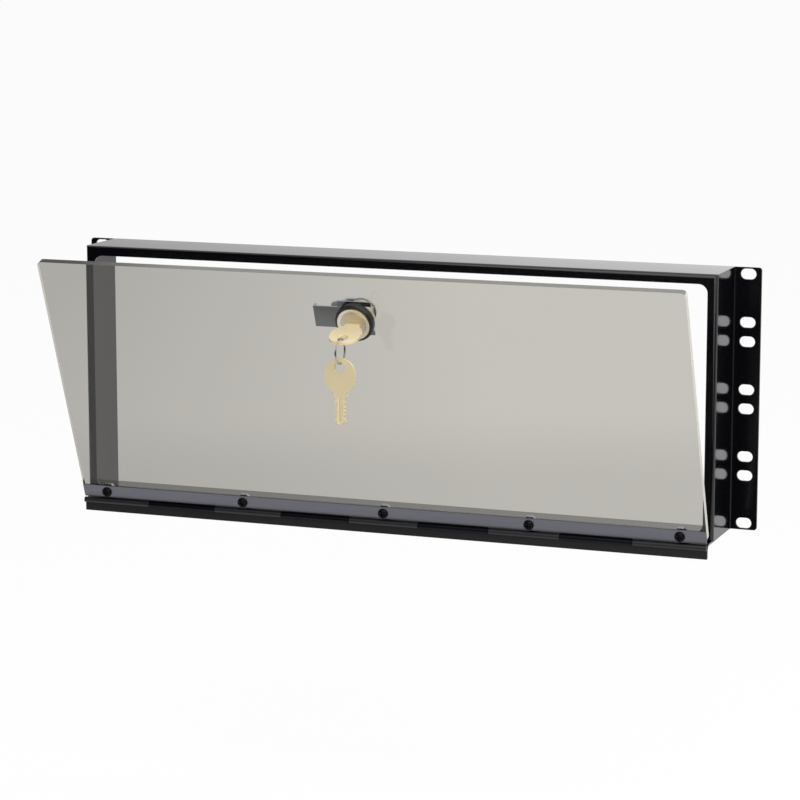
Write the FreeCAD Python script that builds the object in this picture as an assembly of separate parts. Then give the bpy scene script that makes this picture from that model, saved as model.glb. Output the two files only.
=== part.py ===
"""Hinged security cover for a 19-inch rack: folded steel frame, clear drop-down door, key lock.

Millimetres, +Z up, front towards -Y.  The origin is the middle of the rack mounting plane,
the rear face of the two ears.  The door and all it carries are drawn closed and then swung
open about the hinge line by DOOR_OPEN; the keys hang from the lock in that open position.
"""
import FreeCAD, Part
import math
import os

# Rack interface
RACK_WIDTH = 482.6
RACK_UNIT = 44.45
UNITS = 4
PANEL_RELIEF = 3.8
SLOT_FROM_EAR_EDGE = 8.75
SLOT_FROM_UNIT_EDGE = 6.35
SLOT_LENGTH = 10.4
SLOT_WIDTH = 7.0

# Folded sheet-steel frame
EAR_WIDTH = 17.8
FRAME_DEPTH = 46.2
SHEET = 1.5
BEND = 1.0
LIP = 6.5
WINDOW_ROUND = 6.0
EAR_ROUND = 2.0

# Clear door panel
DOOR_SIDE_INSET = 1.2
DOOR_OVERHANG = 9.0
DOOR_THICKNESS = 4.76
DOOR_ROUND = 3.0
DOOR_FOOT = 3.0
DOOR_GAP = 3.6
DOOR_OPEN = 21.0

# Continuous hinge and the angle that carries it
HINGE_INSET = 0.2
HINGE_DROP = 2.0
LEAF = 0.9
PIN_RADIUS = 1.0
PIN_CLEARANCE = 0.05
KNUCKLES = 9
KNUCKLE_GAP = 0.4
KNUCKLE_CLEARANCE = 0.35
MOVING_LEAF_REACH = 11.6
FIXED_LEAF_REACH = 7.7
ANGLE_DEPTH = 30.0
ANGLE_DROP = 9.4
ANGLE_BEND = 3.0

# Hinge screws and their nuts
SCREWS = 5
SCREW_FROM_END = 17.6
SCREW_RISE = 6.7
SCREW_RADIUS = 1.75
SCREW_HEAD_RADIUS = 3.45
SCREW_HEAD_HEIGHT = 2.0
SCREW_HOLE_CLEARANCE = 0.2
SCREW_END = 0.3
NUT_ACROSS_FLATS = 7.9
NUT_THICKNESS = 2.4
THREAD_CLEARANCE = 0.03

# Cam lock
LOCK_X = 1.5
LOCK_BELOW_TOP = 22.4
COLLAR_RADIUS = 13.0
COLLAR_HEIGHT = 4.6
COLLAR_FIT = 0.02
HEAD_RADIUS = 11.0
HEAD_THICKNESS = 5.8
BARREL_RADIUS = 9.5
BARREL_FLATS = 16.0
BARREL_CLEARANCE = 0.2
PLUG_RADIUS = 7.5
PLUG_FIT = 0.05
PLUG_FACE_RADIUS = 8.6
PLUG_FACE_DEPTH = 1.8
PLUG_PROUD = 0.4
TAIL_SQUARE = 7.0
TAIL_CLEARANCE = 0.05
PLUG_WEB = 0.86
LOCK_TURN = 90.0
WAFER_WIDTH = 13.0
WAFER_HEIGHT = 6.0
WAFER_THICKNESS = 1.0
WAFER_ROOM = 0.1
WAFER_TRAVEL = 0.9

# Spring clip that holds the lock in the panel
CLIP_THICKNESS = 1.2
CLIP_WIDTH = 24.0
CLIP_PRONG = 10.5
CLIP_SHOULDER = 13.0
CLIP_REACH = 30.2
CLIP_TAB_WIDTH = 15.0
CLIP_LIP = 4.0
CLIP_GROOVE = 0.9
CLIP_FIT = 0.05

# Stop washer, cam, cam washer and cam screw
STOP_RADIUS = 9.0
STOP_THICKNESS = 1.0
STOP_TAB_WIDTH = 3.0
STOP_TAB_HEIGHT = 1.1
STOP_TAB_DEPTH = 1.6
STOP_ROOM = 0.3
CAM_THICKNESS = 2.0
CAM_WIDTH = 15.0
CAM_ROUND = 2.5
CAM_ROOM = 0.9
CAM_HUB_GAP = 0.3
CAM_WASHER_RADIUS = 5.5
CAM_WASHER_THICKNESS = 1.0
CAM_SCREW_RADIUS = 2.5
CAM_SCREW_DEPTH = 5.0
CAM_SCREW_FLATS = 8.0
CAM_SCREW_HEAD = 3.0

# Keys and their ring
KEY_THICKNESS = 2.0
KEY_BOW_RADIUS = 10.5
KEY_BOW_STRAIGHT = 2.0
KEY_NECK = 2.0
KEY_NECK_WIDTH = 9.6
KEY_BLADE_WIDTH = 7.4
KEY_BLADE_LENGTH = 18.0
KEY_TIP = 2.2
KEY_HOLE_RADIUS = 3.6
KEY_RIM = 2.5
KEY_CUTS = 5
KEY_CUT_DEPTH = 1.1
KEY_CUT_WIDTH = 2.4
KEYWAY_CLEARANCE = 0.1
RING_RADIUS = 8.0
RING_WIRE = 1.2
RING_SEAT = 2.05
HANG_CLEARANCE = 0.55

# Derived places
V = FreeCAD.Vector
SLOT_SPACING = RACK_WIDTH - 2 * SLOT_FROM_EAR_EDGE
FRAME_WIDTH = RACK_WIDTH - 2 * EAR_WIDTH
FRAME_HEIGHT = UNITS * RACK_UNIT - PANEL_RELIEF
DOOR_WIDTH = FRAME_WIDTH - 2 * DOOR_SIDE_INSET
DOOR_HEIGHT = FRAME_HEIGHT + HINGE_DROP - DOOR_FOOT + DOOR_OVERHANG
HINGE_LENGTH = DOOR_WIDTH - 2 * HINGE_INSET
SCREW_PITCH = (HINGE_LENGTH - 2 * SCREW_FROM_END) / (SCREWS - 1)
HALF_WIDTH = FRAME_WIDTH / 2
HALF_HEIGHT = FRAME_HEIGHT / 2
OUTER_BEND = SHEET + BEND
KNUCKLE_RADIUS = PIN_RADIUS + PIN_CLEARANCE + LEAF
KNUCKLE_BORE = PIN_RADIUS + PIN_CLEARANCE
PANEL_BACK = -(FRAME_DEPTH + DOOR_GAP)
PANEL_FRONT = PANEL_BACK - DOOR_THICKNESS
LEAF_FRONT = PANEL_FRONT - LEAF
HINGE_Y = PANEL_FRONT - KNUCKLE_RADIUS
HINGE_Z = -HALF_HEIGHT - HINGE_DROP
HINGE_POINT = V(0, HINGE_Y, HINGE_Z)
SCREW_Z = HINGE_Z + SCREW_RISE
LOCK_Z = HALF_HEIGHT - LOCK_BELOW_TOP
HEAD_FRONT = PANEL_FRONT - HEAD_THICKNESS
FACE_FRONT = HEAD_FRONT - PLUG_PROUD
KEYWAY_END = FACE_FRONT + KEY_BLADE_LENGTH + KEYWAY_CLEARANCE
CAM_SCREW_TIP = KEYWAY_END + PLUG_WEB + SCREW_END
CAM_HUB_BACK = CAM_SCREW_TIP + CAM_SCREW_DEPTH
CAM_HUB_FRONT = CAM_HUB_BACK - CAM_THICKNESS
BARREL_END = CAM_HUB_FRONT - STOP_THICKNESS - CAM_HUB_GAP
STOP_TAB_INNER = PLUG_RADIUS + BARREL_CLEARANCE
CAM_TIP_FRONT = -FRAME_DEPTH + SHEET + CAM_ROOM
CAM_REACH = HALF_HEIGHT - SHEET - CAM_ROOM - LOCK_Z
KEY_EDGE = KEY_BLADE_WIDTH / 2
KEY_CUT_PITCH = (KEY_BLADE_LENGTH - KEY_TIP) / (KEY_CUTS + 1)
KEY_LENGTH = KEY_NECK + 2 * KEY_BOW_RADIUS + KEY_BOW_STRAIGHT
KEY_RIM_CENTRE = KEY_LENGTH - KEY_RIM / 2
KEYWAY_HALF = KEY_THICKNESS / 2 + KEYWAY_CLEARANCE
RING_HANG = RING_RADIUS - RING_WIRE / 2 - RING_SEAT


def block(x, y, z):
    """Box between the two ends given for each direction."""
    return Part.makeBox(x[1] - x[0], y[1] - y[0], z[1] - z[0], V(x[0], y[0], z[0]))


def rod(radius, start, end, x=0, z=0):
    """Round bar along Y between two places."""
    return Part.makeCylinder(radius, end - start, V(x, start, z), V(0, 1, 0))


def hexagon(flats, start, end, x, z):
    """Hexagonal bar along Y, with a flat at the top."""
    corner = flats / math.sqrt(3)
    turns = [math.radians(60 * k) for k in range(7)]
    points = [V(x + corner * math.cos(t), start, z + corner * math.sin(t)) for t in turns]
    return Part.Face(Part.makePolygon(points)).extrude(V(0, end - start, 0))


def rounded_plate(width, height, corner, start, end):
    """Plate across Y, centred on the origin, with its four corners rounded."""
    plate = block((-width / 2, width / 2), (start, end), (-height / 2, height / 2))
    along_y = [e for e in plate.Edges if abs(e.Vertexes[0].Y - e.Vertexes[1].Y) > (end - start) / 2]
    return plate.makeFillet(corner, along_y)


def slot_cut(x, z, start, end):
    """Obround hole along Y, long across X."""
    straight = (SLOT_LENGTH - SLOT_WIDTH) / 2
    middle = block((x - straight, x + straight), (start, end), (z - SLOT_WIDTH / 2, z + SLOT_WIDTH / 2))
    ends = [rod(SLOT_WIDTH / 2, start, end, x + side * straight, z) for side in (-1, 1)]
    return middle.fuse(ends)


def swing_open(shape):
    """Turn a piece of the closed door about the hinge line to its open place."""
    shape.rotate(HINGE_POINT, V(1, 0, 0), DOOR_OPEN)
    return shape


def opened(point):
    """Place of a point of the closed door once the door is open."""
    turn = FreeCAD.Rotation(V(1, 0, 0), DOOR_OPEN)
    return HINGE_POINT + turn.multVec(point - HINGE_POINT)


def tray(inset, front, rear, front_round):
    """Solid block inset from the frame, its front edges rounded."""
    half_x = HALF_WIDTH - inset
    half_z = HALF_HEIGHT - inset
    body = block((-half_x, half_x), (front, rear), (-half_z, half_z))
    at_front = [e for e in body.Edges if max(v.Y for v in e.Vertexes) < front + BEND / 2]
    return body.makeFillet(front_round, at_front)


def ear(side):
    """Side wall's rear end, folded outwards to the rack flange."""
    wall_in = side * (HALF_WIDTH - SHEET)
    wall_out = side * HALF_WIDTH
    tip = side * RACK_WIDTH / 2
    centre = V(side * (HALF_WIDTH + BEND), -OUTER_BEND, 0)
    diagonal = V(-side * math.sqrt(0.5), math.sqrt(0.5), 0)
    outer_arc = Part.Arc(V(wall_in, -OUTER_BEND, 0), centre + diagonal * OUTER_BEND, V(centre.x, 0, 0))
    inner_arc = Part.Arc(V(centre.x, -SHEET, 0), centre + diagonal * BEND, V(wall_out, -OUTER_BEND, 0))
    edges = [
        outer_arc.toShape(),
        Part.makeLine(V(centre.x, 0, 0), V(tip, 0, 0)),
        Part.makeLine(V(tip, 0, 0), V(tip, -SHEET, 0)),
        Part.makeLine(V(tip, -SHEET, 0), V(centre.x, -SHEET, 0)),
        inner_arc.toShape(),
        Part.makeLine(V(wall_out, -OUTER_BEND, 0), V(wall_in, -OUTER_BEND, 0)),
    ]
    flange = Part.Face(Part.Wire(edges)).extrude(V(0, 0, FRAME_HEIGHT))
    flange.translate(V(0, 0, -HALF_HEIGHT))
    at_tip = [e for e in flange.Edges
              if abs(e.CenterOfMass.x - tip) < SHEET / 100 and e.Length < SHEET * 1.01]
    return flange.makeFillet(EAR_ROUND, at_tip)


def slot_heights():
    """Heights of the rack slots: two in each rack unit."""
    foot = -UNITS * RACK_UNIT / 2
    offsets = (SLOT_FROM_UNIT_EDGE, RACK_UNIT - SLOT_FROM_UNIT_EDGE)
    return [foot + unit * RACK_UNIT + offset for unit in range(UNITS) for offset in offsets]


def make_frame():
    """Front lip, four walls and two slotted ears, folded from one sheet and welded at the corners."""
    shell = tray(0, -FRAME_DEPTH, 0, OUTER_BEND)
    shell = shell.cut(tray(SHEET, -FRAME_DEPTH + SHEET, SHEET, BEND))
    window = rounded_plate(FRAME_WIDTH - 2 * LIP, FRAME_HEIGHT - 2 * LIP, WINDOW_ROUND,
                           -FRAME_DEPTH - SHEET, -FRAME_DEPTH + 2 * SHEET)
    shell = shell.cut(window)
    for side in (-1, 1):
        ends = sorted((side * (HALF_WIDTH - SHEET), side * (HALF_WIDTH + SHEET)))
        shell = shell.cut(block(ends, (-OUTER_BEND, SHEET), (-FRAME_HEIGHT, FRAME_HEIGHT)))
    shell = shell.fuse([ear(-1), ear(1)])
    slots = [slot_cut(side * SLOT_SPACING / 2, z, -2 * SHEET, SHEET)
             for side in (-1, 1) for z in slot_heights()]
    return shell.cut(slots).removeSplitter()


def make_hinge_angle():
    """Steel angle under the frame's floor, turned down in front to carry the hinge."""
    top = -HALF_HEIGHT
    front = HINGE_Y + KNUCKLE_RADIUS
    rear = front + ANGLE_DEPTH
    outer = ANGLE_BEND + SHEET
    centre = V(0, front + outer, top - outer)
    diagonal = V(0, -math.sqrt(0.5), math.sqrt(0.5))
    over = Part.Arc(V(0, front + outer, top), centre + diagonal * outer, V(0, front, top - outer))
    under = Part.Arc(V(0, front + SHEET, top - outer), centre + diagonal * ANGLE_BEND,
                     V(0, front + outer, top - SHEET))
    low = top - ANGLE_DROP
    edges = [
        Part.makeLine(V(0, rear, top), V(0, front + outer, top)),
        over.toShape(),
        Part.makeLine(V(0, front, top - outer), V(0, front, low)),
        Part.makeLine(V(0, front, low), V(0, front + SHEET, low)),
        Part.makeLine(V(0, front + SHEET, low), V(0, front + SHEET, top - outer)),
        under.toShape(),
        Part.makeLine(V(0, front + outer, top - SHEET), V(0, rear, top - SHEET)),
        Part.makeLine(V(0, rear, top - SHEET), V(0, rear, top)),
    ]
    angle = Part.Face(Part.Wire(edges)).extrude(V(HINGE_LENGTH, 0, 0))
    angle.translate(V(-HINGE_LENGTH / 2, 0, 0))
    return angle


def hinge_leaf(reach, first, screw_holes):
    """Leaf standing up from the hinge line, with every second knuckle rolled round the pin."""
    half = HINGE_LENGTH / 2
    pitch = HINGE_LENGTH / KNUCKLES
    back = HINGE_Y + KNUCKLE_RADIUS
    notch = KNUCKLE_RADIUS + KNUCKLE_CLEARANCE
    leaf = block((-half, half), (back - LEAF, back), (HINGE_Z + notch, HINGE_Z + reach))
    pieces = []
    for k in range(first, KNUCKLES, 2):
        start = -half + k * pitch + KNUCKLE_GAP / 2
        end = -half + (k + 1) * pitch - KNUCKLE_GAP / 2
        roll = Part.makeCylinder(KNUCKLE_RADIUS, end - start, V(start, HINGE_Y, HINGE_Z), V(1, 0, 0))
        root = block((start, end), (back - LEAF, back), (HINGE_Z, HINGE_Z + notch))
        pieces += [roll, root]
    leaf = leaf.fuse(pieces)
    bore = Part.makeCylinder(KNUCKLE_BORE, 2 * HINGE_LENGTH, V(-HINGE_LENGTH, HINGE_Y, HINGE_Z), V(1, 0, 0))
    leaf = leaf.cut(bore)
    if screw_holes:
        radius = SCREW_RADIUS + SCREW_HOLE_CLEARANCE
        leaf = leaf.cut([rod(radius, back - 2 * LEAF, back + LEAF, x, SCREW_Z) for x in screw_places()])
    return leaf.removeSplitter()


def make_moving_leaf():
    """Upper hinge leaf, in front of the door's foot."""
    return swing_open(hinge_leaf(MOVING_LEAF_REACH, 1, True))


def make_fixed_leaf():
    """Lower hinge leaf, hanging on the face of the angle."""
    leaf = hinge_leaf(FIXED_LEAF_REACH, 0, False)
    return leaf.mirror(HINGE_POINT, V(0, 0, 1))


def make_hinge_pin():
    """Long pin through all the knuckles."""
    return Part.makeCylinder(PIN_RADIUS, HINGE_LENGTH, V(-HINGE_LENGTH / 2, HINGE_Y, HINGE_Z), V(1, 0, 0))


def screw_places():
    """Places of the hinge screws along X."""
    return [(k - (SCREWS - 1) / 2) * SCREW_PITCH for k in range(SCREWS)]


def double_flat(radius, flats, start, end):
    """Round bar at the lock with a flat on the left and on the right."""
    bar = rod(radius, start, end, LOCK_X, LOCK_Z)
    keep = block((LOCK_X - flats / 2, LOCK_X + flats / 2), (start, end), (LOCK_Z - radius, LOCK_Z + radius))
    return bar.common(keep)


def make_door_panel():
    """Clear sheet with rounded corners, screw holes and the lock's flatted hole."""
    panel = rounded_plate(DOOR_WIDTH, DOOR_HEIGHT, DOOR_ROUND, PANEL_FRONT, PANEL_BACK)
    panel.translate(V(0, 0, HINGE_Z + DOOR_FOOT + DOOR_HEIGHT / 2))
    radius = SCREW_RADIUS + SCREW_HOLE_CLEARANCE
    before, behind = PANEL_FRONT - LEAF, PANEL_BACK + LEAF
    holes = [rod(radius, before, behind, x, SCREW_Z) for x in screw_places()]
    holes.append(double_flat(BARREL_RADIUS + BARREL_CLEARANCE, BARREL_FLATS + 2 * BARREL_CLEARANCE,
                             before, behind))
    return swing_open(panel.cut(holes))


def make_hinge_screws():
    """Machine screws with low round heads, through leaf and panel."""
    screws = []
    end = PANEL_BACK + NUT_THICKNESS + SCREW_END
    for x in screw_places():
        head = rod(SCREW_HEAD_RADIUS, LEAF_FRONT - SCREW_HEAD_HEIGHT, LEAF_FRONT, x, SCREW_Z)
        screws.append(head.fuse(rod(SCREW_RADIUS, LEAF_FRONT, end, x, SCREW_Z)).removeSplitter())
    return swing_open(Part.makeCompound(screws))


def make_hinge_nuts():
    """Hexagon nuts on the back of the panel."""
    nuts = []
    for x in screw_places():
        nut = hexagon(NUT_ACROSS_FLATS, PANEL_BACK, PANEL_BACK + NUT_THICKNESS, x, SCREW_Z)
        past = PANEL_BACK + 2 * NUT_THICKNESS
        bore = rod(SCREW_RADIUS + THREAD_CLEARANCE, PANEL_BACK - LEAF, past, x, SCREW_Z)
        nuts.append(nut.cut(bore))
    return swing_open(Part.makeCompound(nuts))


def at_lock(radius, start, end):
    """Round bar along Y on the lock's centre line."""
    return rod(radius, start, end, LOCK_X, LOCK_Z)


def make_lock_collar():
    """Trim ring pressed on the lock's head."""
    front = PANEL_FRONT - COLLAR_HEIGHT
    ring = at_lock(COLLAR_RADIUS, front, PANEL_FRONT)
    return swing_open(ring.cut(at_lock(HEAD_RADIUS + COLLAR_FIT, front - SHEET, PANEL_FRONT + SHEET)))


def make_lock_housing():
    """Lock body: flanged head, flatted and grooved barrel, stepped bore, end cut away for the stop."""
    head = at_lock(HEAD_RADIUS, HEAD_FRONT, PANEL_FRONT)
    body = head.fuse(double_flat(BARREL_RADIUS, BARREL_FLATS, PANEL_FRONT, BARREL_END))
    across = (LOCK_X - BARREL_RADIUS, LOCK_X + BARREL_RADIUS)
    lean = math.radians(LOCK_TURN / 2)
    tab_low = STOP_TAB_INNER * math.cos(lean) - STOP_TAB_WIDTH / 2 * math.sin(lean)
    stop_low = LOCK_Z + tab_low - STOP_ROOM
    stop_front = BARREL_END - STOP_TAB_DEPTH - STOP_ROOM
    cuts = [
        at_lock(PLUG_RADIUS + PLUG_FIT, HEAD_FRONT - SHEET, BARREL_END + SHEET),
        at_lock(PLUG_FACE_RADIUS + PLUG_FIT, HEAD_FRONT - SHEET, FACE_FRONT + PLUG_FACE_DEPTH + PLUG_FIT),
        block(across, (stop_front, BARREL_END + SHEET), (stop_low, LOCK_Z + HEAD_RADIUS)),
    ]
    along = (PANEL_BACK - CLIP_FIT, PANEL_BACK + CLIP_THICKNESS + CLIP_FIT)
    for side in (-1, 1):
        heights = sorted((LOCK_Z + side * (BARREL_RADIUS - CLIP_GROOVE), LOCK_Z + side * HEAD_RADIUS))
        cuts.append(block(across, along, heights))
    return swing_open(body.cut(cuts).removeSplitter())


def make_lock_clip():
    """Spring clip: two prongs in the barrel's grooves, a tab to the left with its end turned back."""
    slot = BARREL_RADIUS - CLIP_GROOVE + CLIP_FIT
    root = -(BARREL_FLATS / 2 + BARREL_CLEARANCE)
    half, tab = CLIP_WIDTH / 2, CLIP_TAB_WIDTH / 2
    outline = [(-CLIP_REACH, -tab), (-CLIP_SHOULDER, -tab), (-CLIP_SHOULDER, -half), (CLIP_PRONG, -half),
               (CLIP_PRONG, -slot), (root, -slot), (root, slot), (CLIP_PRONG, slot), (CLIP_PRONG, half),
               (-CLIP_SHOULDER, half), (-CLIP_SHOULDER, tab), (-CLIP_REACH, tab), (-CLIP_REACH, -tab)]
    points = [V(LOCK_X + x, PANEL_BACK, LOCK_Z + z) for x, z in outline]
    clip = Part.Face(Part.makePolygon(points)).extrude(V(0, CLIP_THICKNESS, 0))
    end = LOCK_X - CLIP_REACH
    lip = block((end, end + CLIP_THICKNESS), (PANEL_BACK, PANEL_BACK + CLIP_LIP),
                (LOCK_Z - tab, LOCK_Z + tab))
    return swing_open(clip.fuse(lip).removeSplitter())


def wafer_places():
    """Places along Y of the wafers, one at each cut of the key pushed home."""
    return [FACE_FRONT + (k + 1) * KEY_CUT_PITCH for k in range(KEY_CUTS)]


def wafer_block(middle, reach, room):
    """Block across the plug at one wafer, to that reach left and right, with room round the wafer."""
    half = WAFER_THICKNESS / 2 + room
    height = WAFER_HEIGHT / 2 + room
    return block((LOCK_X - reach, LOCK_X + reach), (middle - half, middle + half),
                 (LOCK_Z - height, LOCK_Z + height))


def make_lock_wafers():
    """Flat wafers round the key's blade, bearing by turns on its left and its right cuts."""
    bearing = KEY_EDGE - KEY_CUT_DEPTH * (1 - WAFER_THICKNESS / KEY_CUT_WIDTH) + KEYWAY_CLEARANCE
    free = KEY_EDGE + WAFER_TRAVEL
    wafers = []
    for k, middle in enumerate(wafer_places()):
        left, right = (bearing, free) if k % 2 else (free, bearing)
        window = block((LOCK_X - left, LOCK_X + right), (middle - WAFER_THICKNESS, middle + WAFER_THICKNESS),
                       (LOCK_Z - KEYWAY_HALF, LOCK_Z + KEYWAY_HALF))
        wafers.append(wafer_block(middle, WAFER_WIDTH / 2, 0).cut(window))
    return swing_open(Part.makeCompound(wafers))


def make_lock_plug():
    """Turning core: face disc, keyway, wafer slots, square tail and the hole for the cam's screw."""
    plug = at_lock(PLUG_RADIUS, FACE_FRONT, BARREL_END)
    plug = plug.fuse(at_lock(PLUG_FACE_RADIUS, FACE_FRONT, FACE_FRONT + PLUG_FACE_DEPTH))
    tail = TAIL_SQUARE / 2
    square = block((LOCK_X - tail, LOCK_X + tail), (BARREL_END, CAM_HUB_BACK), (LOCK_Z - tail, LOCK_Z + tail))
    plug = plug.fuse(square)
    half_width = KEY_EDGE + KEYWAY_CLEARANCE
    cuts = [wafer_block(middle, HEAD_RADIUS, WAFER_ROOM) for middle in wafer_places()]
    cuts.append(block((LOCK_X - half_width, LOCK_X + half_width), (FACE_FRONT - SHEET, KEYWAY_END),
                      (LOCK_Z - KEYWAY_HALF, LOCK_Z + KEYWAY_HALF)))
    cuts.append(at_lock(CAM_SCREW_RADIUS + THREAD_CLEARANCE, KEYWAY_END + PLUG_WEB, CAM_HUB_BACK + SHEET))
    return swing_open(plug.cut(cuts).removeSplitter())


def tail_hole(start, end):
    """Square hole for the plug's tail."""
    half = TAIL_SQUARE / 2 + TAIL_CLEARANCE
    return block((LOCK_X - half, LOCK_X + half), (start - SHEET, end + SHEET), (LOCK_Z - half, LOCK_Z + half))


def make_stop_washer():
    """Washer on the plug's tail: its tab turns in the barrel's cut-away end and ends the quarter turn."""
    start = CAM_HUB_FRONT - STOP_THICKNESS
    ring = at_lock(STOP_RADIUS, start, CAM_HUB_FRONT)
    low = LOCK_Z + STOP_TAB_INNER
    tab = block((LOCK_X - STOP_TAB_WIDTH / 2, LOCK_X + STOP_TAB_WIDTH / 2),
                (BARREL_END - STOP_TAB_DEPTH, CAM_HUB_FRONT), (low, low + STOP_TAB_HEIGHT))
    tab.rotate(V(LOCK_X, 0, LOCK_Z), V(0, 1, 0), -LOCK_TURN / 2)
    return swing_open(ring.fuse(tab).cut(tail_hole(start, CAM_HUB_FRONT)).removeSplitter())


def make_lock_cam():
    """Cranked strip on the plug's tail: square hole in the hub, tip stepped forward to the lip."""
    tip_back = CAM_TIP_FRONT + CAM_THICKNESS
    hub_radius = CAM_WIDTH / 2
    crank_foot = LOCK_X - BARREL_RADIUS - CAM_ROOM
    crank_head = crank_foot - (CAM_HUB_FRONT - CAM_TIP_FRONT)
    tip = LOCK_X - CAM_REACH
    profile = [(LOCK_X, CAM_HUB_FRONT), (crank_foot, CAM_HUB_FRONT), (crank_head, CAM_TIP_FRONT),
               (tip, CAM_TIP_FRONT), (tip, tip_back), (crank_head, tip_back), (crank_foot, CAM_HUB_BACK),
               (LOCK_X, CAM_HUB_BACK), (LOCK_X, CAM_HUB_FRONT)]
    low = LOCK_Z - hub_radius
    strip = Part.Face(Part.makePolygon([V(x, y, low) for x, y in profile])).extrude(V(0, 0, CAM_WIDTH))
    at_tip = [e for e in strip.Edges
              if abs(e.CenterOfMass.x - tip) < SHEET / 100 and e.Length < CAM_THICKNESS * 1.01]
    strip = strip.makeFillet(CAM_ROUND, at_tip)
    cam = strip.fuse(at_lock(hub_radius, CAM_HUB_FRONT, CAM_HUB_BACK))
    return swing_open(cam.cut(tail_hole(CAM_HUB_FRONT, CAM_HUB_BACK)).removeSplitter())


def make_cam_washer():
    """Washer under the head of the cam's screw."""
    end = CAM_HUB_BACK + CAM_WASHER_THICKNESS
    ring = at_lock(CAM_WASHER_RADIUS, CAM_HUB_BACK, end)
    hole = at_lock(CAM_SCREW_RADIUS + SCREW_HOLE_CLEARANCE, CAM_HUB_BACK - SHEET, end + SHEET)
    return swing_open(ring.cut(hole))


def make_cam_screw():
    """Hexagon-head screw that holds the cam on the plug."""
    seat = CAM_HUB_BACK + CAM_WASHER_THICKNESS
    head = hexagon(CAM_SCREW_FLATS, seat, seat + CAM_SCREW_HEAD, LOCK_X, LOCK_Z)
    return swing_open(head.fuse(at_lock(CAM_SCREW_RADIUS, CAM_SCREW_TIP, seat)).removeSplitter())


def key():
    """Flat key: long round bow with a ring hole along +X, blade with cuts on both edges along -X."""
    half = KEY_THICKNESS / 2
    near = KEY_NECK + KEY_BOW_RADIUS
    far = near + KEY_BOW_STRAIGHT
    ends = [Part.makeCylinder(KEY_BOW_RADIUS, KEY_THICKNESS, V(x, 0, -half)) for x in (near, far)]
    middle = block((near, far), (-KEY_BOW_RADIUS, KEY_BOW_RADIUS), (-half, half))
    neck = block((0, near), (-KEY_NECK_WIDTH / 2, KEY_NECK_WIDTH / 2), (-half, half))
    outline = [(0, -KEY_EDGE), (0, KEY_EDGE), (KEY_TIP - KEY_BLADE_LENGTH, KEY_EDGE),
               (-KEY_BLADE_LENGTH, KEY_EDGE - KEY_TIP), (-KEY_BLADE_LENGTH, KEY_TIP - KEY_EDGE),
               (KEY_TIP - KEY_BLADE_LENGTH, -KEY_EDGE), (0, -KEY_EDGE)]
    blade = Part.Face(Part.makePolygon([V(x, y, -half) for x, y in outline])).extrude(V(0, 0, KEY_THICKNESS))
    cuts = []
    for k in range(KEY_CUTS):
        for side in (-1, 1):
            x = -(k + 1) * KEY_CUT_PITCH
            edge = side * KEY_EDGE
            notch = [(x - KEY_CUT_WIDTH / 2, edge), (x + KEY_CUT_WIDTH / 2, edge),
                     (x, edge - side * KEY_CUT_DEPTH), (x - KEY_CUT_WIDTH / 2, edge)]
            face = Part.Face(Part.makePolygon([V(u, v, -half) for u, v in notch]))
            cuts.append(face.extrude(V(0, 0, KEY_THICKNESS)))
    hole_x = KEY_LENGTH - KEY_RIM - KEY_HOLE_RADIUS
    cuts.append(Part.makeCylinder(KEY_HOLE_RADIUS, 2 * KEY_THICKNESS, V(hole_x, 0, -KEY_THICKNESS)))
    return middle.fuse(ends + [neck, blade]).removeSplitter().cut(cuts)


def make_key_in_lock():
    """Key pushed home in the plug, its bow level."""
    shape = key()
    shape.rotate(V(0, 0, 0), V(0, 0, 1), -90)
    shape.translate(V(LOCK_X, FACE_FRONT, LOCK_Z))
    return swing_open(shape)


def ring_centre():
    """Centre of the ring, straight below the rim of the bow that carries it."""
    return opened(V(LOCK_X, FACE_FRONT - KEY_RIM_CENTRE, LOCK_Z)) - V(0, 0, RING_HANG)


def make_key_ring():
    """Ring of square wire hanging through the bow of the key in the lock."""
    start = ring_centre() - V(RING_WIRE / 2, 0, 0)
    across = V(1, 0, 0)
    outside = Part.makeCylinder(RING_RADIUS + RING_WIRE / 2, RING_WIRE, start, across)
    return outside.cut(Part.makeCylinder(RING_RADIUS - RING_WIRE / 2, RING_WIRE, start, across))


def make_spare_key():
    """Second key, hanging on the ring and facing the front."""
    shape = key()
    shape.rotate(V(0, 0, 0), V(0, 1, 0), -90)
    shape.rotate(V(0, 0, 0), V(0, 0, 1), 90)
    inner = RING_RADIUS - RING_WIRE / 2
    seat = math.sqrt(inner ** 2 - (KEY_THICKNESS / 2) ** 2) - HANG_CLEARANCE
    shape.translate(ring_centre() - V(0, 0, seat + KEY_LENGTH - KEY_RIM))
    return shape


NODES = {
    "frame": make_frame,
    "hinge_angle": make_hinge_angle,
    "hinge_fixed_leaf": make_fixed_leaf,
    "hinge_moving_leaf": make_moving_leaf,
    "hinge_pin": make_hinge_pin,
    "door_panel": make_door_panel,
    "hinge_screws": make_hinge_screws,
    "hinge_nuts": make_hinge_nuts,
    "lock_collar": make_lock_collar,
    "lock_housing": make_lock_housing,
    "lock_clip": make_lock_clip,
    "lock_plug": make_lock_plug,
    "lock_wafers": make_lock_wafers,
    "stop_washer": make_stop_washer,
    "lock_cam": make_lock_cam,
    "cam_washer": make_cam_washer,
    "cam_screw": make_cam_screw,
    "key_in_lock": make_key_in_lock,
    "key_ring": make_key_ring,
    "spare_key": make_spare_key,
}

os.makedirs("parts", exist_ok=True)
for name, make in NODES.items():
    make().exportStep(os.path.join("parts", name + ".step"))
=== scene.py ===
"""Looks of the hinged rack security cover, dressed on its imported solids."""
import math

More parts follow.
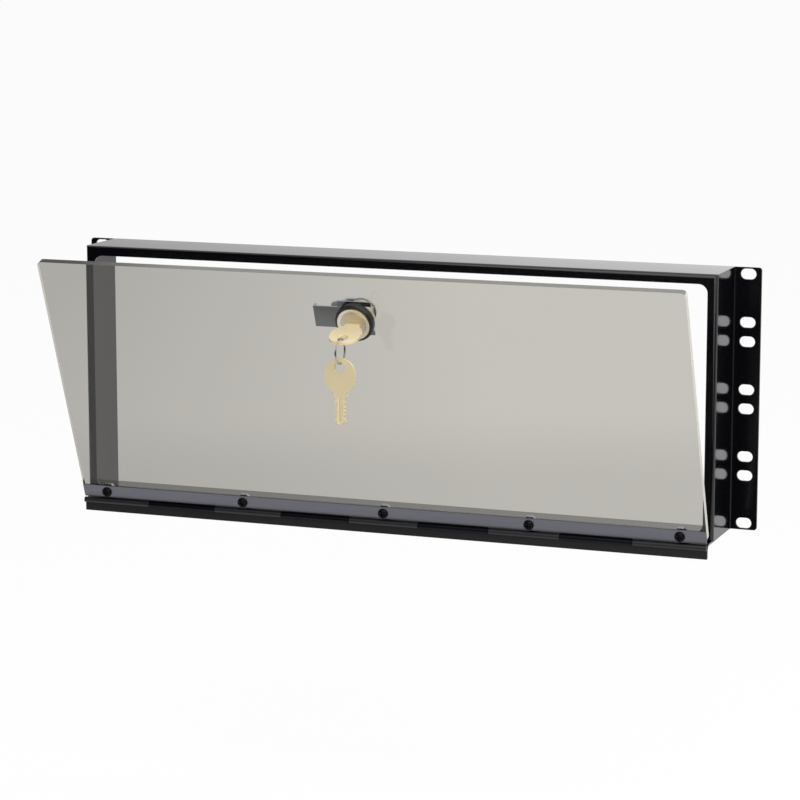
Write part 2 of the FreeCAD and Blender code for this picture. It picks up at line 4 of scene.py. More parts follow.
import bmesh
import bpy
import numpy as np
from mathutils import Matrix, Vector


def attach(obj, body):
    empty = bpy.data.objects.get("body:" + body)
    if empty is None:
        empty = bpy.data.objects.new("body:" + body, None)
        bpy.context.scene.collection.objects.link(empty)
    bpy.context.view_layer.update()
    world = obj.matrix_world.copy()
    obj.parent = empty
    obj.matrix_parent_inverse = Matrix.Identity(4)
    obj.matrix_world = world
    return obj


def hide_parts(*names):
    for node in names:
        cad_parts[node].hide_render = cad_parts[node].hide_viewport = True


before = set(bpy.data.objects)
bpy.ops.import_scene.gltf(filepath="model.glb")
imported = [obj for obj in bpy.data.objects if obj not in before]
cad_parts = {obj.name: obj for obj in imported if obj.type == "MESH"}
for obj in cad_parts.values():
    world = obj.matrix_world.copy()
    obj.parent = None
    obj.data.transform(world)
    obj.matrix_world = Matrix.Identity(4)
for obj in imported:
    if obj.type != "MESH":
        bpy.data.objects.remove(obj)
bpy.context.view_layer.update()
MM = 0.001
TURN = 2 * math.pi

# Distances within which points are joined and slivers removed, the angle within which faces count as one
# flat, and the angles above which an edge stays sharp
MERGE, SLIVER = 0.0005 * MM, 0.0001 * MM
FLAT_WITHIN = math.radians(0.5)
SHARP_SOLID, SHARP_PIECE = math.radians(32), math.radians(38)

# Door: how far it stands open, the hinge line it turns about, the barrel's radius and the width over which
# its painted shade fades, and where the panel's back and the leaf's front lie when it is closed (millimetres)
DOOR_OPEN = math.radians(21.0)
HINGE_Y, HINGE_Z = -56.51, -89.0
BARREL_RADIUS, BARREL_SHADE_FADE = 2.2, 0.6
PANEL_BACK = -49.8
LEAF_FRONT = -55.46

# Panel's edges: where the top and right edge begin, and where along the top edge the painted shade of its
# left end starts to fade and is gone (millimetres)
TOP_ABOVE, RIGHT_BEYOND = 80.0, 215.0
LEFT_SHADE_FROM, LEFT_SHADE_GONE = -195.0, -120.0

# Least part of a face's normal along a direction for the face to count as an edge's, or as a key's flat
EDGE_FACING, FLAT_FACING = 0.5, 0.99

# Hinge screws and nuts (millimetres)
SCREW_X = np.linspace(-204.5, 204.5, 5)
SCREW_Z = -82.3
SCREW_RADIUS = 1.75
SCREW_END = -47.1
HEAD_RADIUS, HEAD_HEIGHT = 3.45, 2.0
CROSS_HALF_WIDTH, CROSS_REACH, CROSS_DEPTH = 0.5, 1.9, 1.2
CROSS_WALL, CROSS_END = 0.2, 0.3
THREAD_PITCH, THREAD_DEPTH = 0.7, 0.2
NUT_FLATS, NUT_THICKNESS, NUT_BORE = 7.9, 2.4, 1.78
NUT_LEAD, NUT_THREAD = 0.25, 0.12

# Their shape: powers that round the head, how much shallower the cross gets towards the rim and the most of
# the head it takes, the nut's round face as a share of its flats and the slope of its cone, columns and rows
HEAD_WIDE_POWER, HEAD_TALL_POWER = 0.7, 0.6
CROSS_RISE, CROSS_SHARE = 0.35, 0.9
NUT_FACE, NUT_CONE = 0.96, math.radians(30)
AROUND, HEAD_ROWS, SHANK_ROWS, BORE_ROWS = 96, 44, 80, 24

# Key ring: centre, mean radius and half sizes of the wire (millimetres), the power that squares its section,
# how far each turn lies from the middle in half widths, and in radians where the jog lies, its length and
# the turn from it to the wire's start
RING_CENTRE = (1.5, -137.7, 39.01)
RING_RADIUS = 8.0
RING_HALF_HEIGHT, RING_HALF_WIDTH = 0.57, 0.28
RING_POWER = 0.5
RING_APART = 1.08
RING_JOG_AT, RING_JOG, RING_START = 2.4, 1.0, 0.55
RING_ROWS, RING_COLUMNS = 216, 16

# Channel milled along the spare key's blade: middle, half sizes, width of its sloped walls and depth
CHANNEL_MIDDLE = Vector((0.9, 0.0, 0.85)) * MM
CHANNEL_HALF_WIDTH, CHANNEL_HALF_LENGTH = 0.8 * MM, 8.15 * MM
CHANNEL_SLOPE, CHANNEL_DEPTH = 0.3 * MM, 0.4 * MM

# Camera: a long lens, right of the front and a little above (degrees, metres, and millimetres for the lens)
AZIMUTH = 20.573
ELEVATION = 9.814
DISTANCE = 1935.7 * MM
AIM = Vector((12.93, -60.0, -4.27)) * MM
LENS = 131.7
SENSOR = 36.0

# Floor (metres), the share of it that is plain white to the camera, and how it dims through glass as painted
# shade: from the first place to the second its level rises from the stated one to 1
FLOOR_DROP, FLOOR_HALF, FLOOR_FRONT = 0.3, 40.0, 0.55
FLOOR_WHITE = 0.93
DIM_LEFT, DIM_RIGHT, LEFT_LEVEL = -0.55, 0.1, 0.72
DIM_NEAR, DIM_FAR, NEAR_LEVEL = 1.1, 1.6, 0.86

# Sweep of light round the object: levels between two directions, front to back and left to right
SWEEP_FRONT, SWEEP_BACK, FRONT_LEVEL, BACK_LEVEL = -0.45, 0.25, 0.02, 1.0
SWEEP_LEFT, SWEEP_RIGHT, LEFT_SHARE, RIGHT_SHARE = -0.46, -0.24, 0.7, 1.2


def srgb(code):
    """Linear colour of an sRGB hex value."""
    parts = np.array([int(code[k:k + 2], 16) for k in (1, 3, 5)]) / 255
    linear = np.where(parts <= 0.04045, parts / 12.92, ((parts + 0.055) / 1.055) ** 2.4)
    return (*linear.tolist(), 1.0)


def add(tree, kind, inputs=None, **settings):
    """Add one node: settings are its properties, inputs its socket values or the sockets that feed them."""
    new = tree.nodes.new(kind)
    for name, value in settings.items():
        setattr(new, name, value)
    for name, value in (inputs or {}).items():
        if isinstance(value, bpy.types.NodeSocket):
            tree.links.new(value, new.inputs[name])
        else:
            new.inputs[name].default_value = value
    return new


def start_material(name):
    """New material with an empty node tree."""
    material = bpy.data.materials.new(name)
    material.use_nodes = True
    material.node_tree.nodes.clear()
    return material, material.node_tree


def per_metre(size_mm):
    """Texture scale whose features are about that many millimetres apart."""
    return 1 / (size_mm * MM)


def powder_coat(name, low, high):
    """Black polyester powder coat, sprayed and baked: deep black, a faint orange peel in its reflections."""
    material, tree = start_material(name)
    place = add(tree, "ShaderNodeTexCoord").outputs["Object"]
    peel = add(tree, "ShaderNodeTexNoise", {"Vector": place, "Scale": per_metre(1.6), "Detail": 2.0})
    cloud = add(tree, "ShaderNodeTexNoise", {"Vector": place, "Scale": per_metre(40), "Detail": 3.0})
    gloss = add(tree, "ShaderNodeMapRange", {"Value": cloud.outputs["Fac"], "To Min": low, "To Max": high})
    tone = add(tree, "ShaderNodeMix", {
        "Factor": peel.outputs["Fac"], "A": srgb("#050508"), "B": srgb("#09090e")}, data_type="RGBA")
    bump = add(tree, "ShaderNodeBump", {
        "Height": peel.outputs["Fac"], "Strength": 0.05, "Distance": 0.05 * MM})
    shader = add(tree, "ShaderNodeBsdfPrincipled", {
        "Base Color": tone.outputs["Result"], "Roughness": gloss.outputs["Result"], "IOR": 1.5,
        "Normal": bump.outputs["Normal"]})
    add(tree, "ShaderNodeOutputMaterial", {"Surface": shader.outputs["BSDF"]})
    return material


def hinge_steel():
    """Rolled strip steel: the flat a grey sheen with lines along it, the barrel darkened near black as
    painted shade.

    The rolling lines are drawn coarser than real ones, so that they show.
    """
    material, tree = start_material("rolled_strip_steel")
    place = add(tree, "ShaderNodeTexCoord").outputs["Object"]
    lines = add(tree, "ShaderNodeMapping", {"Vector": place, "Scale": (0.02, 1.0, 1.0)})
    grain = add(tree, "ShaderNodeTexNoise", {
        "Vector": lines.outputs["Vector"], "Scale": per_metre(0.8), "Detail": 4.0})
    gloss = add(tree, "ShaderNodeMapRange", {"Value": grain.outputs["Fac"], "To Min": 0.30, "To Max": 0.46})
    tone = add(tree, "ShaderNodeMix", {
        "Factor": grain.outputs["Fac"], "A": srgb("#62626a"), "B": srgb("#787880")}, data_type="RGBA")
    # Painted shade: the barrel round the hinge line is darkened near black, fading out onto the flat
    axis = add(tree, "ShaderNodeVectorMath", {
        0: place, 1: (0, HINGE_Y * MM, HINGE_Z * MM)}, operation="SUBTRACT")
    off = add(tree, "ShaderNodeVectorMath", {0: axis.outputs["Vector"], 1: (0, 1, 1)}, operation="MULTIPLY")
    away = add(tree, "ShaderNodeVectorMath", {0: off.outputs["Vector"]}, operation="LENGTH")
    past_barrel_shade = add(tree, "ShaderNodeMapRange", {
        "Value": away.outputs["Value"], "From Min": BARREL_RADIUS * MM,
        "From Max": (BARREL_RADIUS + BARREL_SHADE_FADE) * MM})
    tone = add(tree, "ShaderNodeMix", {
        "Factor": past_barrel_shade.outputs["Result"], "A": srgb("#1c1c22"), "B": tone.outputs["Result"]},
        data_type="RGBA")
    bump = add(tree, "ShaderNodeBump", {
        "Height": grain.outputs["Fac"], "Strength": 0.05, "Distance": 0.03 * MM})
    shader = add(tree, "ShaderNodeBsdfPrincipled", {
        "Base Color": tone.outputs["Result"], "Metallic": 1.0, "Roughness": gloss.outputs["Result"],
        "Normal": bump.outputs["Normal"]})
    add(tree, "ShaderNodeOutputMaterial", {"Surface": shader.outputs["BSDF"]})
    return material


def smoked_acrylic():
    """Cast acrylic sheet, lightly smoked: a grey view through it, and gloss faces whose images waver."""
    material, tree = start_material("smoked_cast_acrylic")
    place = add(tree, "ShaderNodeTexCoord").outputs["Object"]
    wave = add(tree, "ShaderNodeTexNoise", {"Vector": place, "Scale": per_metre(70), "Detail": 1.0})
    marks = add(tree, "ShaderNodeTexNoise", {"Vector": place, "Scale": per_metre(6), "Detail": 4.0})
    gloss = add(tree, "ShaderNodeMapRange", {
        "Value": marks.outputs["Fac"], "From Min": 0.45, "From Max": 0.8, "To Min": 0.0, "To Max": 0.03})
    bump = add(tree, "ShaderNodeBump", {
        "Height": wave.outputs["Fac"], "Strength": 0.05, "Distance": 0.5 * MM})
    shader = add(tree, "ShaderNodeBsdfPrincipled", {
        "Base Color": srgb("#ffffff"), "Roughness": gloss.outputs["Result"], "IOR": 1.49,
        "Transmission Weight": 1.0, "Normal": bump.outputs["Normal"]})
    smoke = add(tree, "ShaderNodeVolumeAbsorption", {"Color": srgb("#b9b4a7"), "Density": 216.0})
    add(tree, "ShaderNodeOutputMaterial", {
        "Surface": shader.outputs["BSDF"], "Volume": smoke.outputs["Volume"]})
    return material


def sawn_acrylic(name, dark, pale, shaded_left_end=None):
    """Cut edge of the acrylic sheet: frosted, with the tool's strokes across it.

    Where a tone is given for it, the left end is darkened to it as painted shade.
    """
    material, tree = start_material(name)
    place = add(tree, "ShaderNodeTexCoord").outputs["Object"]
    strokes = add(tree, "ShaderNodeMapping", {"Vector": place, "Scale": (1.0, 0.1, 1.0)})
    grain = add(tree, "ShaderNodeTexNoise", {
        "Vector": strokes.outputs["Vector"], "Scale": per_metre(0.9), "Detail": 3.0})
    tone = add(tree, "ShaderNodeMix", {
        "Factor": grain.outputs["Fac"], "A": srgb(dark), "B": srgb(pale)}, data_type="RGBA")
    if shaded_left_end:
        # Painted shade: the left end fades to the darker tone
        spot = add(tree, "ShaderNodeSeparateXYZ", {0: place})
        left_shade_fade = add(tree, "ShaderNodeMapRange", {
            "Value": spot.outputs["X"], "From Min": LEFT_SHADE_FROM * MM, "From Max": LEFT_SHADE_GONE * MM})
        tone = add(tree, "ShaderNodeMix", {
            "Factor": left_shade_fade.outputs["Result"], "A": srgb(shaded_left_end), "B": tone.outputs["Result"]},
            data_type="RGBA")
    bump = add(tree, "ShaderNodeBump", {
        "Height": grain.outputs["Fac"], "Strength": 0.2, "Distance": 0.05 * MM})
    shader = add(tree, "ShaderNodeBsdfPrincipled", {
        "Base Color": tone.outputs["Result"], "Roughness": 0.55, "IOR": 1.49,
        "Normal": bump.outputs["Normal"]})
    add(tree, "ShaderNodeOutputMaterial", {"Surface": shader.outputs["BSDF"]})
    return material


def marked_metal(name, dull, bright, low, high, spacing_mm, metallic=1.0):
    """Plated or tumbled metal: two close tones, and its gloss broken up by handling marks.

    The marks are drawn wider than real ones, so that they show. A matte tumbled face scatters part of its
    light evenly, which a metallic share below 1 gives.
    """
    material, tree = start_material(name)
    place = add(tree, "ShaderNodeTexCoord").outputs["Object"]
    marks = add(tree, "ShaderNodeTexNoise", {"Vector": place, "Scale": per_metre(spacing_mm), "Detail": 4.0})
    gloss = add(tree, "ShaderNodeMapRange", {"Value": marks.outputs["Fac"], "To Min": low, "To Max": high})
    tone = add(tree, "ShaderNodeMix", {
        "Factor": marks.outputs["Fac"], "A": srgb(dull), "B": srgb(bright)}, data_type="RGBA")
    shader = add(tree, "ShaderNodeBsdfPrincipled", {
        "Base Color": tone.outputs["Result"], "Metallic": metallic, "Roughness": gloss.outputs["Result"]})
    add(tree, "ShaderNodeOutputMaterial", {"Surface": shader.outputs["BSDF"]})
    return material


def black_moulding():
    """Moulded black nylon: semi-gloss with a faint grain, drawn coarser than the mould's so that it shows."""
    material, tree = start_material("moulded_black_nylon")
    place = add(tree, "ShaderNodeTexCoord").outputs["Object"]
    grain = add(tree, "ShaderNodeTexNoise", {"Vector": place, "Scale": per_metre(0.5), "Detail": 2.0})
    tone = add(tree, "ShaderNodeMix", {
        "Factor": grain.outputs["Fac"], "A": srgb("#0a0a0a"), "B": srgb("#111111")}, data_type="RGBA")
    bump = add(tree, "ShaderNodeBump", {
        "Height": grain.outputs["Fac"], "Strength": 0.1, "Distance": 0.02 * MM})
    shader = add(tree, "ShaderNodeBsdfPrincipled", {
        "Base Color": tone.outputs["Result"], "Roughness": 0.35, "IOR": 1.53,
        "Normal": bump.outputs["Normal"]})
    add(tree, "ShaderNodeOutputMaterial", {"Surface": shader.outputs["BSDF"]})
    return material


# Frame and hinge angle: deep black that mirrors the room
COAT = powder_coat("gloss_black_powder_coat", 0.10, 0.17)
# Fixed leaf: black with a soft grey sheen
SATIN_COAT = powder_coat("satin_black_powder_coat", 0.42, 0.52)
STEEL = hinge_steel()
ACRYLIC = smoked_acrylic()
# Panel's right edge: pale and frosted
SAWN = sawn_acrylic("saw_cut_acrylic_edge", "#b4b2aa", "#d6d4cc")
# Panel's top edge: grey and dull, with painted shade darkening the left end
SCRAPED = sawn_acrylic("scraped_acrylic_edge", "#6a6863", "#817f79", "#2e2d29")
# Hinge screws: near black with a dull glint
OXIDE = marked_metal("oil_blackened_steel", "#161618", "#242427", 0.35, 0.5, 0.6)
# Clip, cam, washers and nuts: cool grey, half bright
ZINC = marked_metal("bright_zinc_plate", "#b6bdcb", "#cad0da", 0.25, 0.45, 0.8)
NYLON = black_moulding()
# Lock's head: warm white metal with a soft shine
NICKEL = marked_metal("satin_nickel_plate", "#ded6c4", "#ece6d6", 0.30, 0.45, 1.2)
# Plug and wafers: greyed yellow with a soft shine
BRASS = marked_metal("turned_brass", "#c4bcaa", "#d6cfc0", 0.35, 0.50, 0.7)
# Keys: pale yellow and matte
KEY_BRASS = marked_metal("tumbled_pale_brass", "#ecdaac", "#f9eac4", 0.45, 0.60, 0.7, 0.5)
# Key ring: bright, and dark where it mirrors the room
WIRE = marked_metal("nickel_plated_spring_wire", "#c0bcb4", "#d0ccc6", 0.15, 0.3, 0.6)


def place_piece(name, mesh, body, slot, *nodes):
    """Object of a mesh at the origin, riding a body in place of solids."""
    made = bpy.data.objects.new(name, mesh)
    bpy.context.scene.collection.objects.link(made)
    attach(made, body)
    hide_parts(*nodes)
    return made


def softened(node, body, slot, width_mm, *finishes):
    """Copy of a solid: loose triangles joined, flat faces made whole, sharp edges given a narrow round."""
    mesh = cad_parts[node].data.copy()
    mesh.name = node + "_rounded"
    shape = bmesh.new()
    shape.from_mesh(mesh)
    bmesh.ops.remove_doubles(shape, verts=shape.verts, dist=MERGE)
    bmesh.ops.dissolve_limit(shape, angle_limit=FLAT_WITHIN, verts=shape.verts, edges=shape.edges)
    shape.to_mesh(mesh)
    shape.free()
    mesh.materials.clear()
    for finish in finishes:
        mesh.materials.append(finish)
    mesh.shade_smooth()
    mesh.set_sharp_from_angle(angle=SHARP_SOLID)
    made = place_piece(mesh.name, mesh, body, slot, node)
    bevel = made.modifiers.new("round", "BEVEL")
    bevel.width = width_mm * MM
    bevel.segments = 2
    bevel.limit_method = "ANGLE"
    bevel.angle_limit = SHARP_SOLID
    bevel.harden_normals = True
    return made


def opened(points):
    """Points of the closed door turned about the hinge line to where it stands open."""
    y, z = points[..., 1] - HINGE_Y, points[..., 2] - HINGE_Z
    c, s = math.cos(DOOR_OPEN), math.sin(DOOR_OPEN)
    return np.stack([points[..., 0], HINGE_Y + y * c - z * s, HINGE_Z + y * s + z * c], -1)


def grid_faces(rows, columns, loop_rows):
    """Four-cornered faces of a grid that closes round along its columns, and along its rows where asked."""
    r = np.arange(rows if loop_rows else rows - 1)[:, None]
    c = np.arange(columns)[None, :]
    up, on = (r + 1) % rows, (c + 1) % columns
    corners = [r * columns + c, r * columns + on, up * columns + on, up * columns + c]
    return np.stack(corners, -1).reshape(-1, 4)


def grid_mesh(name, grids, finish, loop_rows=False):
    """Mesh of equal grids of points in millimetres (count, rows, columns, 3), closed, with faces outwards."""
    count, rows, columns = grids.shape[:3]
    faces = grid_faces(rows, columns, loop_rows)
    faces = (faces[None] + np.arange(count)[:, None, None] * rows * columns).reshape(-1, 4)
    mesh = bpy.data.meshes.new(name)
    mesh.from_pydata((grids.reshape(-1, 3) * MM).tolist(), [], faces.tolist())
    shape = bmesh.new()
    shape.from_mesh(mesh)
    bmesh.ops.remove_doubles(shape, verts=shape.verts, dist=MERGE)
    bmesh.ops.dissolve_degenerate(shape, edges=shape.edges, dist=SLIVER)
    bmesh.ops.recalc_face_normals(shape, faces=shape.faces)
    shape.to_mesh(mesh)
    shape.free()
    mesh.materials.append(finish)
    mesh.shade_smooth()
    mesh.set_sharp_from_angle(angle=SHARP_PIECE)
    return mesh


def step(value, width):
    """Smooth rise from 0 to 1 as a value goes from minus half a width to plus half a width."""
    t = np.clip(value / width + 0.5, 0, 1)
    return t * t * (3 - 2 * t)


def along_door(radius, depth, angle):
    """Points round each screw's axis, which runs into the door: radius and angle about it, depth along it."""
    across, up = radius * np.cos(angle), SCREW_Z + radius * np.sin(angle)
    grid = np.stack(np.broadcast_arrays(across, depth, up), -1)
    grids = np.repeat(grid[None], len(SCREW_X), 0)
    grids[..., 0] += SCREW_X[:, None, None]
    return opened(grids)


def thread_wave(depth, angle):
    """Triangle wave from 0 to 1 that winds along a thread: it depends on depth over pitch plus turn."""
    return np.abs(((depth / THREAD_PITCH + angle / TURN) % 1) * 2 - 1)


def screws():
    """Pan-head screws: a superellipse dome less a cross-shaped recess, then a shank with a helical thread.

    Rows run from the middle of the head over its rim, under it and down the shank to the tip; columns run
    round. The recess is two crossed slots with smooth walls, deepest in the middle, and the thread takes a
    triangle wave off the shank's radius.
    """
    angle = np.linspace(0, TURN, AROUND, endpoint=False)[None, :]
    lean = np.linspace(0, math.pi / 2, HEAD_ROWS)[:, None]
    head_r = HEAD_RADIUS * np.sin(lean) ** HEAD_WIDE_POWER
    head_h = HEAD_HEIGHT * np.cos(lean) ** HEAD_TALL_POWER
    u, v = np.abs(head_r * np.cos(angle)), np.abs(head_r * np.sin(angle))
    slot_u = step(CROSS_HALF_WIDTH - u, CROSS_WALL) * step(CROSS_REACH - v, CROSS_END)
    slot_v = step(CROSS_HALF_WIDTH - v, CROSS_WALL) * step(CROSS_REACH - u, CROSS_END)
    recess = CROSS_DEPTH * np.maximum(slot_u, slot_v) * (1 - CROSS_RISE * head_r / HEAD_RADIUS)
    head_depth = LEAF_FRONT - head_h + np.minimum(recess, CROSS_SHARE * head_h)
    depth = np.linspace(LEAF_FRONT, SCREW_END, SHANK_ROWS)[:, None] + 0 * angle
    shank_r = SCREW_RADIUS - THREAD_DEPTH * thread_wave(depth, angle)
    tip = np.zeros_like(angle)
    radius = np.concatenate([head_r + 0 * angle, shank_r, tip])
    depths = np.concatenate([head_depth, depth, tip + SCREW_END])
    mesh = grid_mesh("pan_head_screws", along_door(radius, depths, angle), OXIDE)
    place_piece("pan_head_screws", mesh, "door", "black_oxide_steel", "hinge_screws")


def nuts():
    """Hexagon nuts: the six-sided outline cut by a cone at both faces, and a threaded bore.

    Rows run from the bore's front edge over the front face, down the sides, over the back face and back
    through the bore; columns run round. A side is the flat's distance over the cosine of the turn from its
    middle.
    """
    angle = np.linspace(0, TURN, AROUND, endpoint=False)[None, :]
    even = np.ones_like(angle)
    flat = NUT_FLATS / 2
    six = flat / np.cos(angle % (TURN / 6) - TURN / 12)
    face, lead = NUT_FACE * flat * even, (NUT_BORE + NUT_LEAD) * even
    front, back = PANEL_BACK * even, (PANEL_BACK + NUT_THICKNESS) * even
    fall = (six - NUT_FACE * flat) * math.tan(NUT_CONE)
    bore = np.linspace(back[0] - NUT_LEAD, front[0] + NUT_LEAD, BORE_ROWS)
    bore_r = NUT_BORE + NUT_THREAD * thread_wave(bore, angle)
    radius = np.concatenate([lead, face, six, six, face, lead, bore_r])
    depth = np.concatenate([front, front, front + fall, back - fall, back, back, bore])
    mesh = grid_mesh("chamfered_nuts", along_door(radius, depth, angle), ZINC, loop_rows=True)
    place_piece("chamfered_nuts", mesh, "door", "zinc_plated_steel", "hinge_nuts")


def split_ring():
    """Split ring: a flat wire's rounded section carried round almost two turns, with a jog between them.

    Rows run along the wire: its turn goes from just after the jog to just before it, two turns on, and its
    sideways place is a smooth step at the middle. Columns run round the section, a superellipse, which
    closes to a point in the first and last rows to cap the ends.
    """
    span = np.linspace(RING_START, 2 * TURN - RING_START, RING_ROWS)
    along = np.concatenate([span[:1], span, span[-1:]])[:, None]
    side = RING_HALF_WIDTH * RING_APART * (2 * step(along - TURN, RING_JOG) - 1)
    angle = np.linspace(0, TURN, RING_COLUMNS, endpoint=False)[None, :]
    c, s = np.cos(angle), np.sin(angle)
    ends = np.ones_like(along)
    ends[[0, -1]] = 0
    across = ends * RING_HALF_WIDTH * np.sign(c) * np.abs(c) ** RING_POWER
    out = ends * RING_HALF_HEIGHT * np.sign(s) * np.abs(s) ** RING_POWER
    turn = along + RING_JOG_AT
    points = np.stack([RING_CENTRE[0] + side + across,
                       RING_CENTRE[1] + (RING_RADIUS + out) * np.cos(turn),
                       RING_CENTRE[2] + (RING_RADIUS + out) * np.sin(turn)], -1)
    mesh = grid_mesh("split_key_ring", points[None], WIRE)
    place_piece("split_key_ring", mesh, "ring", "spring_steel", "key_ring")


def door_sheet():
    """Door panel with its right edge left from the saw, its top edge scraped and the rest polished."""
    made = softened("door_panel", "door", "smoked_acrylic", 0.35, ACRYLIC, SAWN, SCRAPED)
    mesh = made.data
    normals = np.empty(3 * len(mesh.polygons))
    mesh.polygons.foreach_get("normal", normals)
    middles = np.empty(3 * len(mesh.polygons))
    mesh.polygons.foreach_get("center", middles)
    at_top = (normals[2::3] > EDGE_FACING) & (middles[2::3] > TOP_ABOVE * MM)
    at_right = (normals[0::3] > EDGE_FACING) & (middles[0::3] > RIGHT_BEYOND * MM) & ~at_top
    # The sawn finish is the sheet's second and the scraped one its third
    mesh.polygons.foreach_set("material_index", at_right + 2 * at_top.astype(np.int32))


def key_flats(shape, half_width, half_length):
    """Flat faces of a key whose middle lies within a half width and a half length of the channel's middle."""
    offsets = [(face, face.calc_center_bounds() - CHANNEL_MIDDLE) for face in shape.faces]
    return [face for face, off in offsets
            if abs(face.normal.y) > FLAT_FACING and abs(off.x) < half_width and abs(off.z) < half_length]


def milled_key():
    """Spare key with a channel milled along both flats of its blade: a strip, set in with sloped walls.

    The flats are first cut across at the channel's ends, and what lies between is cut along its sides.
    """
    made = softened("spare_key", "hanging_key", "brass", 0.25, KEY_BRASS)
    shape = bmesh.new()
    shape.from_mesh(made.data)
    ends = (Vector((0, 0, 1)), CHANNEL_HALF_LENGTH, math.inf)
    sides = (Vector((1, 0, 0)), CHANNEL_HALF_WIDTH, CHANNEL_HALF_LENGTH)
    for normal, half, reach in (ends, sides):
        for offset in (-half, half):
            faces = key_flats(shape, math.inf, reach)
            edges = list(dict.fromkeys(edge for face in faces for edge in face.edges))
            corners = list(dict.fromkeys(corner for face in faces for corner in face.verts))
            bmesh.ops.bisect_plane(shape, geom=faces + edges + corners,
                                   plane_co=CHANNEL_MIDDLE + offset * normal, plane_no=normal)
    strips = key_flats(shape, CHANNEL_HALF_WIDTH, CHANNEL_HALF_LENGTH)
    bmesh.ops.inset_region(shape, faces=strips, thickness=CHANNEL_SLOPE, depth=-CHANNEL_DEPTH,
                           use_even_offset=True)
    shape.to_mesh(made.data)
    shape.free()
    made.data.shade_smooth()
    made.data.set_sharp_from_angle(angle=SHARP_SOLID)


def dress(node, finish):
    """Give a finish to a solid that is shown as it is."""
    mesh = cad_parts[node].data
    mesh.materials.clear()
    mesh.materials.append(finish)


dress("hinge_pin", STEEL)
dress("lock_wafers", BRASS)
softened("frame", "cover_frame", "black_powder_coat", 0.25, COAT)
softened("hinge_angle", "cover_frame", "black_powder_coat", 0.25, COAT)
softened("hinge_fixed_leaf", "cover_frame", "black_powder_coat", 0.12, SATIN_COAT)
softened("hinge_moving_leaf", "door", "hinge_steel", 0.12, STEEL)
door_sheet()
screws()
nuts()
softened("lock_collar", "door", "black_moulding", 0.7, NYLON)
softened("lock_housing", "door", "nickel_plate", 0.2, NICKEL)
softened("lock_clip", "door", "zinc_plated_steel", 0.15, ZINC)
softened("lock_plug", "lock_core", "brass", 0.12, BRASS)
softened("stop_washer", "lock_core", "zinc_plated_steel", 0.12, ZINC)
softened("lock_cam", "lock_core", "zinc_plated_steel", 0.2, ZINC)
softened("cam_washer", "lock_core", "zinc_plated_steel", 0.12, ZINC)
softened("cam_screw", "lock_core", "zinc_plated_steel", 0.25, ZINC)
softened("key_in_lock", "lock_core", "brass", 0.25, KEY_BRASS)
milled_key()
split_ring()


def floor_finish():
    """Pale matte floor, plain white to the camera and in mirrors, that keeps a share of the object's shadow.

    Through glass it dims a little to the left and towards the object, a painted shade.
    """
    material, tree = start_material("pale_floor")
    place = add(tree, "ShaderNodeTexCoord").outputs["Object"]
    turned = add(tree, "ShaderNodeMapping", {"Vector": place, "Rotation": (0, 0, -math.radians(AZIMUTH))})
    spot = add(tree, "ShaderNodeSeparateXYZ", {0: turned.outputs["Vector"]})
    # Painted shade: seen through glass the floor dims to the left and towards the object
    side = add(tree, "ShaderNodeMapRange", {
        "Value": spot.outputs["X"], "From Min": DIM_LEFT, "From Max": DIM_RIGHT, "To Min": LEFT_LEVEL})
    near = add(tree, "ShaderNodeMapRange", {
        "Value": spot.outputs["Y"], "From Min": DIM_NEAR, "From Max": DIM_FAR, "To Min": NEAR_LEVEL},
        interpolation_type="SMOOTHSTEP")
    dim = add(tree, "ShaderNodeMath", {
        0: side.outputs["Result"], 1: near.outputs["Result"]}, operation="MULTIPLY")
    path = add(tree, "ShaderNodeLightPath")
    level = add(tree, "ShaderNodeMix", {
        "Factor": path.outputs["Is Transmission Ray"], "A": 1.0, "B": dim.outputs[0]}, data_type="FLOAT")
    seen = add(tree, "ShaderNodeMath", {
        0: path.outputs["Is Camera Ray"], 1: path.outputs["Is Transmission Ray"]}, operation="MAXIMUM")
    seen = add(tree, "ShaderNodeMath", {
        0: seen.outputs[0], 1: path.outputs["Is Glossy Ray"]}, operation="MAXIMUM")
    share = add(tree, "ShaderNodeMath", {0: seen.outputs[0], 1: FLOOR_WHITE}, operation="MULTIPLY")
    matte = add(tree, "ShaderNodeBsdfDiffuse", {"Color": srgb("#ececea")})
    white = add(tree, "ShaderNodeEmission", {"Color": (1, 1, 1, 1), "Strength": level.outputs["Result"]})
    mixed = add(tree, "ShaderNodeMixShader", {0: share.outputs[0], 1: matte.outputs[0], 2: white.outputs[0]})
    add(tree, "ShaderNodeOutputMaterial", {"Surface": mixed.outputs[0]})
    return material


def stage_floor():
    """Flat floor below the door's lowest reach, ending a little in front of the object."""
    x, y = np.meshgrid((-FLOOR_HALF, FLOOR_HALF), (-FLOOR_FRONT, FLOOR_HALF))
    corners = np.stack([x, y, np.full_like(x, -FLOOR_DROP)], -1).reshape(-1, 3)
    mesh = bpy.data.meshes.new("floor")
    mesh.from_pydata(corners.tolist(), [], [(0, 1, 3, 2)])
    mesh.materials.append(floor_finish())
    floor = bpy.data.objects.new("floor", mesh)
    bpy.context.scene.collection.objects.link(floor)


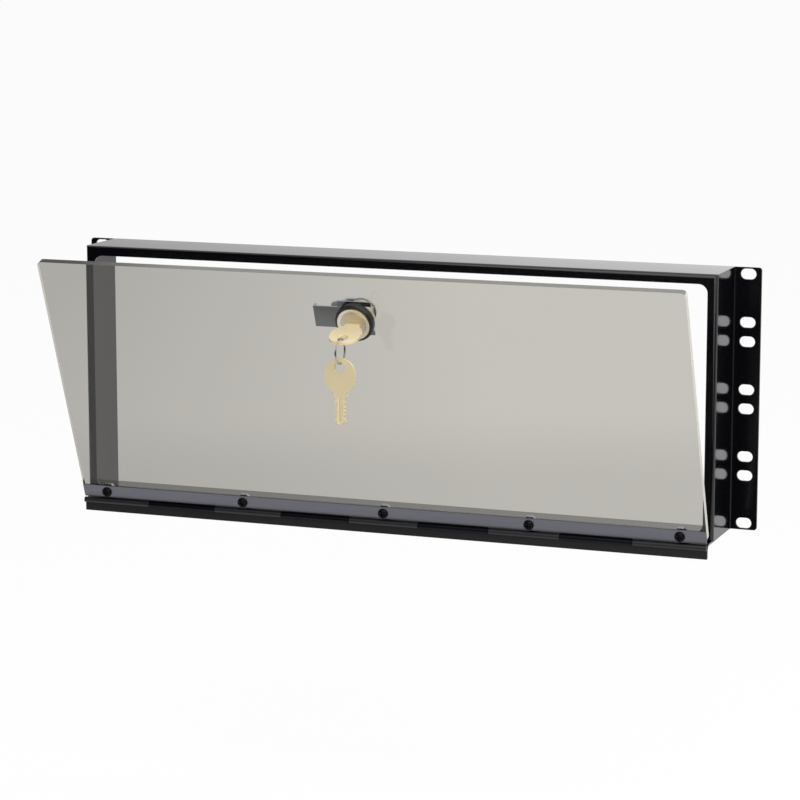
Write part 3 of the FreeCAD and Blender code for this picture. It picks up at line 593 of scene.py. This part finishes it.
def studio_world():
    """White sweep behind and above, brighter to the right, falling to a dim room on the camera's side.

    It is plain white to the camera, also through glass, until a ray has been reflected.
    """
    world = bpy.data.worlds.new("studio")
    world.use_nodes = True
    tree = world.node_tree
    tree.nodes.clear()
    axes = add(tree, "ShaderNodeSeparateXYZ", {0: add(tree, "ShaderNodeTexCoord").outputs["Generated"]})
    depth = add(tree, "ShaderNodeMapRange", {
        "Value": axes.outputs["Y"], "From Min": SWEEP_FRONT, "From Max": SWEEP_BACK,
        "To Min": FRONT_LEVEL, "To Max": BACK_LEVEL}, interpolation_type="SMOOTHSTEP")
    side = add(tree, "ShaderNodeMapRange", {
        "Value": axes.outputs["X"], "From Min": SWEEP_LEFT, "From Max": SWEEP_RIGHT,
        "To Min": LEFT_SHARE, "To Max": RIGHT_SHARE})
    level = add(tree, "ShaderNodeMath", {
        0: depth.outputs["Result"], 1: side.outputs["Result"]}, operation="MULTIPLY")
    sweep = add(tree, "ShaderNodeBackground", {"Color": (1, 1, 1, 1), "Strength": level.outputs[0]})
    path = add(tree, "ShaderNodeLightPath")
    turns = add(tree, "ShaderNodeMath", {0: path.outputs["Glossy Depth"], 1: path.outputs["Diffuse Depth"]})
    # Less than half a turn means none yet
    straight = add(tree, "ShaderNodeMath", {0: turns.outputs[0], 1: 0.5}, operation="LESS_THAN")
    through = add(tree, "ShaderNodeMath", {
        0: path.outputs["Is Transmission Ray"], 1: straight.outputs[0]}, operation="MULTIPLY")
    seen = add(tree, "ShaderNodeMath", {
        0: path.outputs["Is Camera Ray"], 1: through.outputs[0]}, operation="MAXIMUM")
    white = add(tree, "ShaderNodeBackground", {"Color": (1, 1, 1, 1), "Strength": 1.0})
    mixed = add(tree, "ShaderNodeMixShader", {0: seen.outputs[0], 1: sweep.outputs[0], 2: white.outputs[0]})
    add(tree, "ShaderNodeOutputWorld", {"Surface": mixed.outputs[0]})
    bpy.context.scene.world = world


def soft_box(name, place, size, power):
    """Square area lamp turned to face the origin, with its size in metres and its power in watts."""
    lamp = bpy.data.lights.new(name, "AREA")
    lamp.shape = "SQUARE"
    lamp.size = size
    lamp.energy = power
    holder = bpy.data.objects.new(name, lamp)
    holder.location = place
    holder.rotation_euler = (-Vector(place)).to_track_quat("-Z", "Y").to_euler()
    bpy.context.scene.collection.objects.link(holder)


def camera():
    """Camera at the stated angles and distance from the point it looks at."""
    az, el = math.radians(AZIMUTH), math.radians(ELEVATION)
    back = Vector((math.sin(az) * math.cos(el), -math.cos(az) * math.cos(el), math.sin(el)))
    lens = bpy.data.cameras.new("camera")
    lens.lens = LENS
    lens.sensor_width = SENSOR
    holder = bpy.data.objects.new("camera", lens)
    holder.location = AIM + back * DISTANCE
    holder.rotation_euler = (-back).to_track_quat("-Z", "Y").to_euler()
    bpy.context.scene.collection.objects.link(holder)
    bpy.context.scene.camera = holder


stage_floor()
studio_world()
soft_box("top_box", (0.3, -0.6, 1.6), 2.4, 11.0)
soft_box("right_box", (1.5, -0.9, 1.3), 0.9, 11.0)
soft_box("front_box", (0.75, -1.9, 1.25), 3.0, 55.0)
camera()
bpy.context.scene.view_settings.view_transform = "Standard"
